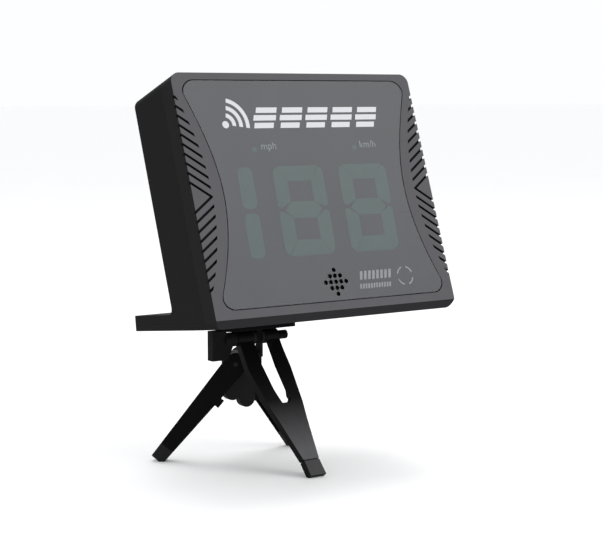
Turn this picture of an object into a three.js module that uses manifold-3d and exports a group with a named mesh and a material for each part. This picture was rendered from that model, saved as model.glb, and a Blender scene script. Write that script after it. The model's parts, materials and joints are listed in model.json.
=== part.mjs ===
// Sports speed-radar display: a seven-segment display case, leaning back, on a folding
// tabletop tripod. Millimetres, +Z up, +X to the right of someone facing the display,
// +Y towards its back. The origin is the centre of the bounding box's bottom face.

import * as THREE from 'three';
import { mergeVertices } from 'three/addons/utils/BufferGeometryUtils.js';
import Module from 'manifold-3d';

const wasm = await Module();
wasm.setup();

// ---------------------------------------------------------------- driving dimensions

const GAP = 0.3;                    // clearance between neighbouring pieces
const OVER = 1;                     // how far a cutting shape runs past what it cuts

// Display case
const CASE_WIDTH = 170;
const FACE_HEIGHT = 145;
const CASE_DEPTH = 46;
const CASE_CORNER = 5.8;
const FACE_LEAN = THREE.MathUtils.degToRad(12.5);   // of the face from the case's base
const LIP_HEIGHT = 5;               // bevelled lip below the face
const LIP_RUN = 2.5;
const LIP_SEAM = 4;                 // the bezel's lip ends here and the base cover begins
const BASE_DEPTH = 98.2;            // lip to the rear edge of the foot flange
const FLANGE_HEIGHT = 9.2;
const FLANGE_FILLET = 5;
const BACK_ROUNDING = 2.4;          // of the top edge at the back
const COVER_THICKNESS = 2.5;        // flat base cover
const WALL = 2.5;
const BEZEL_DEPTH = 12;
const BEZEL_FRONT = 3;              // thickness of the bezel's front wall
const CURVE_STEPS = 10;             // along each curved stretch of an outline
const ROD_SIDES = 28;

// Window, grips and speaker
const WINDOW_THICKNESS = 2;
const OPENING_HALF_WIDTH = 60;      // display opening behind the window
const OPENING_LOW = 9;
const OPENING_HIGH = 137;
const GRIP_CENTRE = 71;             // height of the chevrons' points on the face
const GRIP_PITCH = 5.65;
const GRIP_FIRST = 8.6;             // first groove's height above the point, at the edge
const GRIP_ABOVE = 11;              // grooves above the point
const GRIP_BELOW = 10;              // grooves below it
const GRIP_SLOPE = THREE.MathUtils.degToRad(35.2);
const GROOVE_WIDTH = 1.5;
const GROOVE_DEPTH = 1.8;
const GRIP_RISE = 68;               // a grip reaches this far above its point at the case's edge
const GRIP_DROP = 62;               // and this far below it
const GRIP_WAIST = 67;              // its inner boundary is drawn towards this
const GRIP_SWEEP = 22;
const SPEAKER_HEIGHT = 16.6;
const SPEAKER_HOLE = 1.1;           // radius
const SPEAKER_PITCH = 3.6;

// Digits, measured from the face's lower edge
const DIGIT_LOW = 34;
const DIGIT_HEIGHT = 54.2;
const DIGIT_WIDTH = 34;
const DIGIT_BAR = 9.4;
const DIGIT_SLANT = 0.035;
const HUNDREDS_CENTRE = -47.5;
const TENS_CENTRE = -11;
const UNITS_CENTRE = 36;

// Batteries, door, buttons and screws, on the back
const BATTERY_RADIUS = 7.1;
const BATTERY_LENGTH = 50.5;
const BATTERY_PITCH = 15.2;
const TRAY_HALF_WIDTH = 34;
const TRAY_LOW = 20;
const TRAY_HIGH = 84;
const TRAY_DEPTH = 17.5;
const DOOR_HALF_WIDTH = 32.7;
const DOOR_LOW = 22.3;
const DOOR_HIGH = 81.7;
const BUTTON_HEIGHT = 122;
const BUTTON_PITCH = 22;
const BUTTON_RADIUS = 4.4;
const SCREW_X = 76;
const SCREW_HEIGHTS = [32, 134];
const CASE_SCREW = { head: 2.9, headHeight: 2.4, shank: 1.5, boss: 4.6, sink: 6 };
const BASE_SCREW = { head: 2.8, headHeight: 1.2, shank: 1.3, depth: 7 };
const INSERT_RADIUS = 4.6;
const INSERT_HEIGHT = 7.1;
const STUD_RADIUS = 3.1;            // 1/4-20 camera screw

// Tripod
const AXIS_HEIGHT = 79;             // tilt axis above the floor
const AXIS_DROP = 10.1;             // tilt axis below the case's base
const MOUNT_X = -8;                 // tripod screw, from the case's middle
const MOUNT_Y = 82;                 // tripod screw, behind the lip
const HEAD_TILT = THREE.MathUtils.degToRad(7.4);    // display tilted back on the tripod
const PLATE_WIDTH = 45;
const PLATE_DEPTH = 26;
const PLATE_TOP = -1.8;
const PLATE_FOOT = -5.3;
const PLATE_CORNER = 3;
const PAD_THICKNESS = 1.5;
const BOLT_RADIUS = 1.9;
const BOLT_BORE = 2.2;
const KNUCKLE_RADIUS = 4.4;
const EAR_OFFSET = 3.1;             // each hub ear from the middle of the tilt head
const EAR_HALF = 0.9;
const HUB_FRONT = -1.5;
const HUB_BACK = 18;
const HUB_TOP = 68.8;
const TONGUE_FRONT = 13.5;
const TONGUE_RADIUS = 5.8;
const FRONT_FOOT = new THREE.Vector3(0.4, -54, 0);
const FRONT_LEG_THICKNESS = 4.8;
const FRONT_LEG_LENGTH = 95;
const FRONT_LEG_STRAIGHT = 20;      // length of the arms before the leg runs sideways
const FOOT_LENGTH = 12;
const LEFT_PIVOT = new THREE.Vector3(-19, 5.5, 62.5);
const LEFT_FOOT = new THREE.Vector3(-58, 38.5, 0);
const RIGHT_PIVOT = new THREE.Vector3(-3.5, 24, 62);
const RIGHT_FOOT = new THREE.Vector3(39, 26, 0);
const SLIM_LEG_WIDTH = 7;
const SLIM_LEG_TOP = 14.6;          // depth of a slim leg at its pivot
const SLIM_LEG_END = 8.6;           // and at its foot
const SLIM_LEG_WALL = 1.6;
const PIN_RADIUS = 1.5;
const PIN_BORE = 1.7;

// ---------------------------------------------------------------- materials

const finishes = {
  caseBlack: { color: 0x2b2c2f, roughness: 0.55, metalness: 0 },
  bezelGrey: { color: 0x3c3d40, roughness: 0.5, metalness: 0 },
  smokedWindow: { color: 0x3f4146, roughness: 0.2, metalness: 0 },
  board: { color: 0x1f4a33, roughness: 0.6, metalness: 0 },
  digitGrey: { color: 0x6c7c76, roughness: 0.4, metalness: 0 },
  tripodBlack: { color: 0x17181a, roughness: 0.5, metalness: 0 },
  footGrey: { color: 0x2a2b2d, roughness: 0.7, metalness: 0 },
  steel: { color: 0x8f9296, roughness: 0.35, metalness: 1 },
  brass: { color: 0xb08d57, roughness: 0.35, metalness: 1 },
  cell: { color: 0x5a6a7a, roughness: 0.4, metalness: 0.3 },
  rubber: { color: 0x121212, roughness: 0.9, metalness: 0 },
};

// ---------------------------------------------------------------- solid helpers

function solid(geometry) {
  const bare = geometry.clone();
  bare.deleteAttribute('normal');
  bare.deleteAttribute('uv');
  const merged = mergeVertices(bare, 1e-4);
  return new wasm.Manifold(new wasm.Mesh({
    numProp: 3,
    vertProperties: Float32Array.from(merged.attributes.position.array),
    triVerts: Uint32Array.from(merged.index.array),
  }));
}

const cut = (body, ...tools) => tools.reduce((left, tool) => left.subtract(solid(tool)), body);
const join = (body, ...parts) => parts.reduce((sum, part) => sum.add(solid(part)), body);
const keep = (body, ...limits) => limits.reduce((rest, limit) => rest.intersect(solid(limit)), body);

function toGeometry(manifold) {
  const { vertProperties, triVerts, numProp } = manifold.getMesh();
  const geometry = new THREE.BufferGeometry();
  const positions = new Float32Array((vertProperties.length / numProp) * 3);
  for (let i = 0; i < positions.length / 3; i += 1) {
    for (let axis = 0; axis < 3; axis += 1) {
      positions[i * 3 + axis] = vertProperties[i * numProp + axis];
    }
  }
  geometry.setAttribute('position', new THREE.BufferAttribute(positions, 3));
  geometry.setIndex(Array.from(triVerts));
  return geometry;
}

function piece(name, shape, finish) {
  const geometry = shape.isBufferGeometry ? shape : toGeometry(shape);
  geometry.computeVertexNormals();
  const mesh = new THREE.Mesh(geometry, new THREE.MeshStandardMaterial(finishes[finish]));
  mesh.name = name;
  return mesh;
}

function box(xLow, xHigh, yLow, yHigh, zLow, zHigh) {
  return new THREE.BoxGeometry(xHigh - xLow, yHigh - yLow, zHigh - zLow)
    .translate((xLow + xHigh) / 2, (yLow + yHigh) / 2, (zLow + zHigh) / 2);
}

function rod(radius, from, to, sides = ROD_SIDES) {
  const start = new THREE.Vector3(...from);
  const along = new THREE.Vector3(...to).sub(start);
  const geometry = new THREE.CylinderGeometry(radius, radius, along.length(), sides)
    .translate(0, along.length() / 2, 0);
  const turn = new THREE.Quaternion()
    .setFromUnitVectors(new THREE.Vector3(0, 1, 0), along.clone().normalize());
  return geometry.applyQuaternion(turn).translate(start.x, start.y, start.z);
}

function outline(points) {
  return new THREE.Shape(points.map(([x, y]) => new THREE.Vector2(x, y)));
}

function slab(shape, low, high, curveSegments = CURVE_STEPS) {
  return new THREE.ExtrudeGeometry(shape, { depth: high - low, bevelEnabled: false, curveSegments })
    .translate(0, 0, low);
}

// An outline drawn in (y, z), extruded along x.
function acrossX(shape, xLow, xHigh, curveSegments = CURVE_STEPS) {
  const turn = new THREE.Matrix4().makeBasis(
    new THREE.Vector3(0, 1, 0), new THREE.Vector3(0, 0, 1), new THREE.Vector3(1, 0, 0));
  return slab(shape, xLow, xHigh, curveSegments).applyMatrix4(turn);
}

function roundedRectangle(xLow, xHigh, yLow, yHigh, radius) {
  const shape = new THREE.Shape();
  shape.absarc(xLow + radius, yLow + radius, radius, Math.PI, 1.5 * Math.PI);
  shape.absarc(xHigh - radius, yLow + radius, radius, 1.5 * Math.PI, 2 * Math.PI);
  shape.absarc(xHigh - radius, yHigh - radius, radius, 0, 0.5 * Math.PI);
  shape.absarc(xLow + radius, yHigh - radius, radius, 0.5 * Math.PI, Math.PI);
  return shape;
}

// ---------------------------------------------------------------- frames

// Case frame: base in z = 0, lip's foot at y = 0. Face frame: x right, y up the face,
// z straight out of it, with the case behind at negative z.
const faceFrame = new THREE.Matrix4()
  .makeRotationX(Math.PI / 2 - FACE_LEAN)
  .setPosition(0, 0, LIP_HEIGHT);
const onFace = (geometry) => geometry.applyMatrix4(faceFrame);

function facePoint(up, inward) {
  const point = new THREE.Vector3(0, up, -inward).applyMatrix4(faceFrame);
  return [point.y, point.z];
}

// ---------------------------------------------------------------- case shells

// The whole case as one solid: its side view drawn across, kept within rounded front and plan views.
function caseEnvelope() {
  const half = CASE_WIDTH / 2;
  const [topY, topZ] = facePoint(FACE_HEIGHT, CASE_DEPTH);
  const backSlope = Math.tan(FACE_LEAN);
  const heelY = topY - (topZ - FLANGE_HEIGHT) * backSlope;
  const side = new THREE.Shape();
  side.moveTo(0, LIP_HEIGHT);
  side.lineTo(LIP_RUN, 0);
  side.lineTo(BASE_DEPTH, 0);
  side.lineTo(BASE_DEPTH, FLANGE_HEIGHT);
  side.lineTo(heelY + FLANGE_FILLET, FLANGE_HEIGHT);
  side.quadraticCurveTo(heelY, FLANGE_HEIGHT,
    heelY + FLANGE_FILLET * backSlope, FLANGE_HEIGHT + FLANGE_FILLET);
  side.lineTo(...facePoint(FACE_HEIGHT - BACK_ROUNDING, CASE_DEPTH));
  side.quadraticCurveTo(topY, topZ, ...facePoint(FACE_HEIGHT, CASE_DEPTH - BACK_ROUNDING));
  side.lineTo(...facePoint(FACE_HEIGHT, 0));
  const front = roundedRectangle(-half, half, -LIP_HEIGHT + 0.7, FACE_HEIGHT, CASE_CORNER);
  const plan = roundedRectangle(-half, half, -40, BASE_DEPTH, CASE_CORNER);
  return keep(solid(acrossX(side, -half, half)),
    onFace(slab(front, -110, OVER)), slab(plan, -OVER, 160));
}

function windowOutline() {
  const shape = new THREE.Shape();
  const right = [
    [71, 5, 75.5, 5, 79.8, 9.5, 77.8, 14],
    [77.8, 14, 72.3, 28, 64.8, 48, 64.8, 71],
    [64.8, 71, 64.8, 95, 73.5, 117, 78.8, 132],
    [78.8, 132, 80.2, 135.2, 76.4, 140.8, 71, 140.8],
  ];
  shape.moveTo(right[0][0], right[0][1]);
  for (const [, , ax, ay, bx, by, x, y] of right) {
    shape.bezierCurveTo(ax, ay, bx, by, x, y);
  }
  shape.lineTo(-71, 140.8);
  for (const [x, y, ax, ay, bx, by] of [...right].reverse()) {
    shape.bezierCurveTo(-bx, by, -ax, ay, -x, y);
  }
  return shape;
}

function speakerHoles() {
  const holes = [];
  for (let row = -2; row <= 2; row += 1) {
    const reach = 2 - Math.abs(row);
    for (let column = -reach; column <= reach; column += 1) {
      const x = column * SPEAKER_PITCH;
      const y = SPEAKER_HEIGHT + row * SPEAKER_PITCH;
      holes.push(rod(SPEAKER_HOLE, [x, y, -6], [x, y, OVER], 8));
    }
  }
  return holes;
}

// Grooves of one grip, meeting in a chevron that points at the window; side is -1 or 1.
function gripGrooves(side) {
  const zone = new THREE.Shape();
  const edgeX = side * (CASE_WIDTH / 2 + 2);
  zone.moveTo(edgeX, GRIP_CENTRE - GRIP_DROP);
  zone.bezierCurveTo(side * GRIP_WAIST, GRIP_CENTRE - GRIP_SWEEP,
    side * GRIP_WAIST, GRIP_CENTRE + GRIP_SWEEP, edgeX, GRIP_CENTRE + GRIP_RISE);
  const [low, high] = side < 0 ? [-4, 16] : [-16, 4];
  let grooves = null;
  for (const [half, count] of [[-1, GRIP_BELOW], [1, GRIP_ABOVE]]) {
    for (let index = 0; index < count; index += 1) {
      const edge = GRIP_CENTRE + half * (GRIP_FIRST + index * GRIP_PITCH);
      const groove = solid(box(low, high, -GROOVE_WIDTH / 2, GROOVE_WIDTH / 2, -GROOVE_DEPTH, OVER)
        .rotateZ(half * side * GRIP_SLOPE).translate(side * CASE_WIDTH / 2, edge, 0));
      const clipped = groove.intersect(solid(chevronHalf(half)));
      grooves = grooves ? grooves.add(clipped) : clipped;
    }
  }
  return grooves.intersect(solid(slab(zone, -2 * GROOVE_DEPTH, 2 * OVER)));
}

// The half of the face above (1) or below (-1) the chevrons' points.
function chevronHalf(half) {
  const reach = half * FACE_HEIGHT;
  return box(-CASE_WIDTH, CASE_WIDTH, GRIP_CENTRE + Math.min(0, reach),
    GRIP_CENTRE + Math.max(0, reach), -2 * GROOVE_DEPTH, 2 * OVER);
}

// The room inside the shells, open downwards, behind the bezel's front wall.
function caseRoom() {
  return onFace(box(-CASE_WIDTH / 2 + WALL, CASE_WIDTH / 2 - WALL, -40, FACE_HEIGHT - WALL,
    -CASE_DEPTH + WALL, -BEZEL_FRONT));
}

const aboveCover = () => box(-100, 100, -OVER, 200, COVER_THICKNESS + GAP, 200);
const lipZone = () => box(-100, 100, -OVER, LIP_SEAM, -OVER, COVER_THICKNESS + 2 * GAP);

function frontBezel() {
  const front = onFace(box(-100, 100, -50, 200, -BEZEL_DEPTH, OVER));
  let shell = keep(caseEnvelope(), front).intersect(join(solid(aboveCover()), lipZone()));
  shell = shell.subtract(keep(solid(caseRoom()), aboveCover()));
  const recess = slab(windowOutline(), -WINDOW_THICKNESS - GAP, OVER);
  const opening = box(-OPENING_HALF_WIDTH, OPENING_HALF_WIDTH, OPENING_LOW, OPENING_HIGH,
    -2 * BEZEL_FRONT, OVER);
  shell = cut(shell, onFace(recess), onFace(opening));
  for (const side of [-1, 1]) {
    const grooves = toGeometry(gripGrooves(side));
    shell = cut(shell, onFace(grooves));
    for (const height of SCREW_HEIGHTS) {
      const x = side * SCREW_X;
      shell = join(shell, onFace(rod(3.8, [x, height, -BEZEL_DEPTH + 1], [x, height, -2.5], 16)));
      shell = cut(shell, onFace(rod(1.8, [x, height, -BEZEL_DEPTH - 1], [x, height, -5.5], 12)));
    }
  }
  return piece('front_bezel', shell, 'bezelGrey');
}

function rearHousing() {
  const rear = onFace(box(-100, 100, -50, 200, -120, -BEZEL_DEPTH - GAP));
  let shell = keep(caseEnvelope(), rear, aboveCover());
  shell = cut(shell, caseRoom());
  const pocketTop = FLANGE_HEIGHT - WALL;
  const boss = 11;
  shell = cut(shell,
    box(-CASE_WIDTH / 2 + WALL, MOUNT_X - boss, 49.5, BASE_DEPTH - WALL, 0, pocketTop),
    box(MOUNT_X + boss, CASE_WIDTH / 2 - WALL, 49.5, BASE_DEPTH - WALL, 0, pocketTop));
  for (const [x, y] of baseScrewPlaces()) {
    const outward = Math.sign(x);
    const edge = outward * (CASE_WIDTH / 2 - OVER);
    const top = y > 50 ? FLANGE_HEIGHT - OVER : 14;
    shell = join(shell, box(Math.min(x - outward * 4, edge), Math.max(x - outward * 4, edge),
      y - 4, y + 4, COVER_THICKNESS + GAP, top));
    shell = cut(shell, rod(1.6, [x, y, 0], [x, y, 7.4], 12));
  }
  shell = cut(shell,
    rod(INSERT_RADIUS + GAP, [MOUNT_X, MOUNT_Y, 0], [MOUNT_X, MOUNT_Y, INSERT_HEIGHT + GAP]));
  for (const side of [-1, 1]) {
    for (const height of SCREW_HEIGHTS) {
      const x = side * SCREW_X;
      const back = -CASE_DEPTH - OVER;
      const { head, shank, boss, sink } = CASE_SCREW;
      const bossFoot = [x, height, -CASE_DEPTH + OVER];
      shell = join(shell, onFace(rod(boss, bossFoot, [x, height, -14.5], 16)));
      shell = cut(shell,
        onFace(rod(head + 0.4, [x, height, back], [x, height, -CASE_DEPTH + sink], 16)),
        onFace(rod(shank + GAP, [x, height, back], [x, height, -12], 12)));
    }
  }
  shell = cut(shell, onFace(box(-DOOR_HALF_WIDTH - GAP, DOOR_HALF_WIDTH + GAP,
    DOOR_LOW - GAP, DOOR_HIGH + GAP, -CASE_DEPTH - OVER, -CASE_DEPTH + WALL + OVER)));
  for (const slot of [-1, 0, 1]) {
    const x = slot * BUTTON_PITCH;
    shell = cut(shell, onFace(rod(BUTTON_RADIUS + GAP, [x, BUTTON_HEIGHT, -CASE_DEPTH - 1],
      [x, BUTTON_HEIGHT, -CASE_DEPTH + WALL + 1])));
  }
  return piece('rear_housing', shell, 'caseBlack');
}

function baseScrewPlaces() {
  return [[-77, 20], [77, 20], [-77, 87], [77, 87]];
}

function baseCover() {
  const layer = box(-100, 100, LIP_SEAM + GAP, 200, -OVER, COVER_THICKNESS);
  let plate = keep(caseEnvelope(), layer);
  plate = cut(plate, rod(INSERT_RADIUS + GAP, [MOUNT_X, MOUNT_Y, -OVER], [MOUNT_X, MOUNT_Y, 5]));
  for (const [x, y] of baseScrewPlaces()) {
    plate = cut(plate, rod(1.8, [x, y, -OVER], [x, y, 5], 12),
      rod(3.2, [x, y, -OVER], [x, y, 1.6], 16));
  }
  return piece('base_cover', plate, 'bezelGrey');
}

// A screw with a hexagonal socket, from the top of its head to its tip.
function screw(name, { head, headHeight, shank }, start, tip, matrix = new THREE.Matrix4()) {
  const from = new THREE.Vector3(...start);
  const along = new THREE.Vector3(...tip).sub(from).normalize();
  const at = (distance) => from.clone().addScaledVector(along, distance).toArray();
  let body = join(solid(rod(head, start, at(headHeight), 16)),
    rod(shank, at(headHeight - 0.2), tip, 10));
  body = cut(body, rod(head * 0.45, at(-OVER), at(headHeight / 2), 6));
  return piece(name, toGeometry(body).applyMatrix4(matrix), 'steel');
}

// ---------------------------------------------------------------- display parts

function displayWindow() {
  const fit = 0.9954;
  const middle = 73;
  const pane = slab(windowOutline(), -WINDOW_THICKNESS, 0)
    .translate(0, -middle, 0).scale(fit, fit, 1).translate(0, middle, 0);
  const drilled = cut(solid(pane), ...speakerHoles());
  return piece('display_window', onFace(toGeometry(drilled)), 'smokedWindow');
}

// Straight bars of a seven-segment digit, as [x low, x high, y low, y high] from its centre.
function digitBars(which) {
  const half = DIGIT_WIDTH / 2;
  const tall = DIGIT_HEIGHT / 2;
  const bar = DIGIT_BAR;
  const upright = (x, y) => [x, x + bar, y, y + tall - bar / 2 - 0.8];
  if (which === 'one') {
    return [[-bar / 2, bar / 2, 1, tall], [-bar / 2, bar / 2, -tall, -1]];
  }
  const across = (y) => [-half + bar, half - bar, y, y + bar];
  return [across(tall - bar), across(-bar / 2), across(-tall),
    upright(-half, 1.4), upright(half - bar, 1.4),
    upright(-half, -tall + bar / 2 - 0.6), upright(half - bar, -tall + bar / 2 - 0.6)];
}

function digitBlock(name, centre, which) {
  const middle = DIGIT_LOW + DIGIT_HEIGHT / 2;
  const halfBlock = which === 'one' ? 8 : DIGIT_WIDTH / 2 + 3;
  let block = solid(box(centre - halfBlock, centre + halfBlock,
    middle - DIGIT_HEIGHT / 2 - 3, middle + DIGIT_HEIGHT / 2 + 3, -7.7, -3.2));
  for (const [xLow, xHigh, yLow, yHigh] of digitBars(which)) {
    const lean = (y) => y * DIGIT_SLANT;
    const bar = outline([[xLow + lean(yLow), yLow], [xHigh + lean(yLow), yLow],
      [xHigh + lean(yHigh), yHigh], [xLow + lean(yHigh), yHigh]]);
    block = join(block, slab(bar, -4, -2.8).translate(centre, middle, 0));
  }
  return piece(name, onFace(toGeometry(block)), 'digitGrey');
}

function mainBoard() {
  const board = box(-66, 66, 30.5, 138, -9.6, -8);
  return piece('main_board', onFace(board), 'board');
}

function radarModule() {
  let module = solid(box(-22, 22, 101, 133, -7.7, -5.5));
  for (let row = 0; row < 4; row += 1) {
    for (let column = 0; column < 4; column += 1) {
      const x = (column - 1.5) * 8;
      const y = 117 + (row - 1.5) * 7;
      module = join(module, box(x - 2, x + 2, y - 2, y + 2, -5.7, -5.2));
    }
  }
  return piece('radar_module', onFace(toGeometry(module)), 'board');
}

function speaker() {
  const profile = [[0, -9], [6, -9], [6, -6.5], [11.2, -5], [11.2, -3.3], [10, -3.3], [7, -4.4],
    [0, -4.4]];
  const lathe = new THREE.LatheGeometry(profile.map(([r, h]) => new THREE.Vector2(r, h)), 24)
    .rotateX(Math.PI / 2).translate(0, SPEAKER_HEIGHT, 0);
  return piece('speaker', onFace(lathe), 'caseBlack');
}

function unitLamp(name, x) {
  return piece(name, onFace(rod(1.4, [x, 98.7, -7.7], [x, 98.7, -2.5], 12)), 'digitGrey');
}

function batteryTray() {
  const back = -CASE_DEPTH + WALL + GAP;
  const body = solid(box(-TRAY_HALF_WIDTH, TRAY_HALF_WIDTH, TRAY_LOW, TRAY_HIGH,
    back, back + TRAY_DEPTH));
  const well = box(-TRAY_HALF_WIDTH + 3, TRAY_HALF_WIDTH - 3, TRAY_LOW + 2.7, TRAY_HIGH - 2.7,
    back - OVER, back + TRAY_DEPTH - 1.8);
  return piece('battery_tray', onFace(toGeometry(cut(body, well))), 'caseBlack');
}

const batteryDepth = -CASE_DEPTH + WALL + GAP + 8;

function battery(index) {
  const x = (index - 1.5) * BATTERY_PITCH;
  const flip = index % 2 ? 1 : -1;
  const middle = (TRAY_LOW + TRAY_HIGH) / 2;
  const half = BATTERY_LENGTH / 2;
  const [can, nub] = [BATTERY_RADIUS, 2.7];
  const profile = [[0, -half], [can - 0.8, -half], [can, -half + 0.8], [can, half - 2.2],
    [can - 0.8, half - 1.4], [nub, half - 1.4], [nub, half], [0, half]];
  const cell = new THREE.LatheGeometry(profile.map(([r, h]) => new THREE.Vector2(r, h)), 20);
  if (flip < 0) {
    cell.rotateZ(Math.PI);
  }
  return piece(`battery_${index + 1}`, onFace(cell.translate(x, middle, batteryDepth)), 'cell');
}

// A contact plate with a cone for each cell's spring; end is -1 at the tray's foot, 1 at its top.
function batteryContacts(name, end) {
  const middle = (TRAY_LOW + TRAY_HIGH) / 2;
  const wall = middle + end * ((TRAY_HIGH - TRAY_LOW) / 2 - 2.7 - GAP);
  const faceY = wall - end * 0.6;
  const cellEnd = middle + end * (BATTERY_LENGTH / 2 + GAP);
  let plate = solid(box(-30, 30, Math.min(wall, faceY), Math.max(wall, faceY),
    batteryDepth - 5, batteryDepth + 5));
  for (let index = 0; index < 4; index += 1) {
    const x = (index - 1.5) * BATTERY_PITCH;
    const start = faceY + end * 0.2;
    plate = join(plate, rod(index % 2 === (end > 0 ? 1 : 0) ? 2 : 3.2,
      [x, start, batteryDepth], [x, cellEnd, batteryDepth], 12));
  }
  return piece(name, onFace(toGeometry(plate)), 'steel');
}

function batteryDoor() {
  let door = solid(box(-DOOR_HALF_WIDTH, DOOR_HALF_WIDTH, DOOR_LOW, DOOR_HIGH,
    -CASE_DEPTH, -CASE_DEPTH + WALL - 0.2));
  for (let ridge = 0; ridge < 4; ridge += 1) {
    const y = DOOR_HIGH - 6 - ridge * 2.4;
    door = cut(door, box(-9, 9, y, y + 1.2, -CASE_DEPTH - OVER, -CASE_DEPTH + 0.8));
  }
  return piece('battery_door', onFace(toGeometry(door)), 'caseBlack');
}

function pushButton(name, slot) {
  const x = slot * BUTTON_PITCH;
  const y = BUTTON_HEIGHT;
  const inner = -CASE_DEPTH + WALL + GAP;
  const cap = solid(rod(BUTTON_RADIUS, [x, y, -CASE_DEPTH - 1.2], [x, y, inner + 0.2], 20));
  const button = join(cap, rod(BUTTON_RADIUS + 1.2, [x, y, inner], [x, y, inner + 1.2], 20),
    rod(1.5, [x, y, inner + 1], [x, y, -36.6], 12));
  return piece(name, onFace(toGeometry(button)), 'rubber');
}

function keyBoard() {
  let board = solid(box(-32, 32, BUTTON_HEIGHT - 7, BUTTON_HEIGHT + 7, -33, -31.4));
  for (const slot of [-1, 0, 1]) {
    const x = slot * BUTTON_PITCH;
    board = join(board, box(x - 3, x + 3, BUTTON_HEIGHT - 3, BUTTON_HEIGHT + 3, -35, -32.9));
  }
  return piece('key_board', onFace(toGeometry(board)), 'board');
}

function threadInsert() {
  const body = solid(rod(INSERT_RADIUS, [MOUNT_X, MOUNT_Y, 0.2], [MOUNT_X, MOUNT_Y, INSERT_HEIGHT]));
  const bore = rod(STUD_RADIUS + GAP, [MOUNT_X, MOUNT_Y, -OVER], [MOUNT_X, MOUNT_Y, INSERT_HEIGHT + 2]);
  return piece('thread_insert', cut(body, bore), 'brass');
}

// ---------------------------------------------------------------- tripod head (case frame)

function plateShape() {
  return roundedRectangle(MOUNT_X - PLATE_WIDTH / 2, MOUNT_X + PLATE_WIDTH / 2,
    MOUNT_Y - PLATE_DEPTH / 2, MOUNT_Y + PLATE_DEPTH / 2, PLATE_CORNER);
}

function platePad() {
  const hole = rod(STUD_RADIUS + 0.5, [MOUNT_X, MOUNT_Y, -3], [MOUNT_X, MOUNT_Y, OVER]);
  return piece('plate_pad', cut(solid(slab(plateShape(), -PAD_THICKNESS, -GAP, 3)), hole), 'rubber');
}

// The plate carries the camera screw, and a knuckle below it turns on the tilt bolt.
function tiltHead() {
  const knuckle = EAR_OFFSET - EAR_HALF - 0.4;
  const across = (radius, reach, sides) => rod(radius,
    [MOUNT_X - reach, MOUNT_Y, -AXIS_DROP], [MOUNT_X + reach, MOUNT_Y, -AXIS_DROP], sides);
  let head = solid(slab(plateShape(), PLATE_FOOT, PLATE_TOP, 3));
  head = join(head, across(KNUCKLE_RADIUS - 0.4, knuckle),
    box(MOUNT_X - knuckle, MOUNT_X + knuckle, MOUNT_Y - 4, MOUNT_Y + 4, -AXIS_DROP, PLATE_FOOT + 0.2));
  head = cut(head, across(BOLT_BORE, 9, 12),
    rod(STUD_RADIUS + GAP, [MOUNT_X, MOUNT_Y, PLATE_FOOT + 0.6], [MOUNT_X, MOUNT_Y, OVER]));
  return piece('tilt_head', head, 'tripodBlack');
}

function mountStud() {
  const stud = rod(STUD_RADIUS, [MOUNT_X, MOUNT_Y, PLATE_FOOT + 0.9], [MOUNT_X, MOUNT_Y, 5.5]);
  return piece('mount_stud', stud, 'steel');
}

// ---------------------------------------------------------------- tripod (floor frame)

const aboveFloor = () => box(-150, 150, -150, 150, 0, 200);

// The hub carries the tilt bolt between two ears; two tongues hang behind the front leg.
function hub() {
  const left = MOUNT_X - EAR_OFFSET;
  const right = MOUNT_X + EAR_OFFSET;
  const ear = (x) => rod(KNUCKLE_RADIUS, [x - EAR_HALF, 0, AXIS_HEIGHT], [x + EAR_HALF, 0, AXIS_HEIGHT]);
  const post = (x) => box(x - EAR_HALF, x + EAR_HALF, HUB_FRONT, 4.2, HUB_TOP - 2.3, AXIS_HEIGHT);
  let body = join(solid(ear(left)), ear(right), post(left), post(right),
    box(left, right, HUB_FRONT, HUB_BACK, HUB_TOP - 6.5, HUB_TOP));
  for (const [centre, low] of [[MOUNT_X - 8.4, 37.8], [MOUNT_X + 2, 32.4]]) {
    const turn = low + TONGUE_RADIUS;
    body = join(body, rod(TONGUE_RADIUS, [centre, TONGUE_FRONT, turn], [centre, HUB_BACK, turn]),
      box(centre - TONGUE_RADIUS, centre + TONGUE_RADIUS, TONGUE_FRONT, HUB_BACK, turn, HUB_TOP));
  }
  body = join(body, box(MOUNT_X - 4, MOUNT_X + 2, TONGUE_FRONT + 2, HUB_BACK, 50, HUB_TOP));
  body = cut(body,
    rod(BOLT_BORE, [MOUNT_X - 9, 0, AXIS_HEIGHT], [MOUNT_X + 9, 0, AXIS_HEIGHT], 12));
  for (const { pivot, pin } of slimLegs) {
    const far = pin.clone().multiplyScalar(40).add(pivot).toArray();
    body = cut(body, rod(PIN_BORE, pivot.toArray(), far, 12));
  }
  return piece('hub', body, 'tripodBlack');
}

// The front leg is a flat fork: two arms up to the tilt axis, joined below a long slot.
// It is drawn in (x, -distance down the leg) and stood up in this frame.
const frontLegFrame = new THREE.Matrix4()
  .makeRotationX(Math.atan2(FRONT_FOOT.y, AXIS_HEIGHT))
  .setPosition(0, 0, AXIS_HEIGHT)
  .multiply(new THREE.Matrix4().makeRotationX(Math.PI / 2));

// Middle of the leg this far down: straight at the arms, then running out to the foot.
function frontLegMiddle(along) {
  const run = Math.max(0, (along - FRONT_LEG_STRAIGHT) / (FRONT_LEG_LENGTH - FRONT_LEG_STRAIGHT));
  return MOUNT_X + (FRONT_FOOT.x - MOUNT_X) * run;
}

// An outline from [distance down the leg, left edge, right edge] rows, from the leg's middle.
function frontLegOutline(rows) {
  const left = rows.map(([along, low]) => [frontLegMiddle(along) + low, -along]);
  const right = rows.map(([along, , high]) => [frontLegMiddle(along) + high, -along]);
  return outline([...left, ...right.reverse()]);
}

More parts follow.
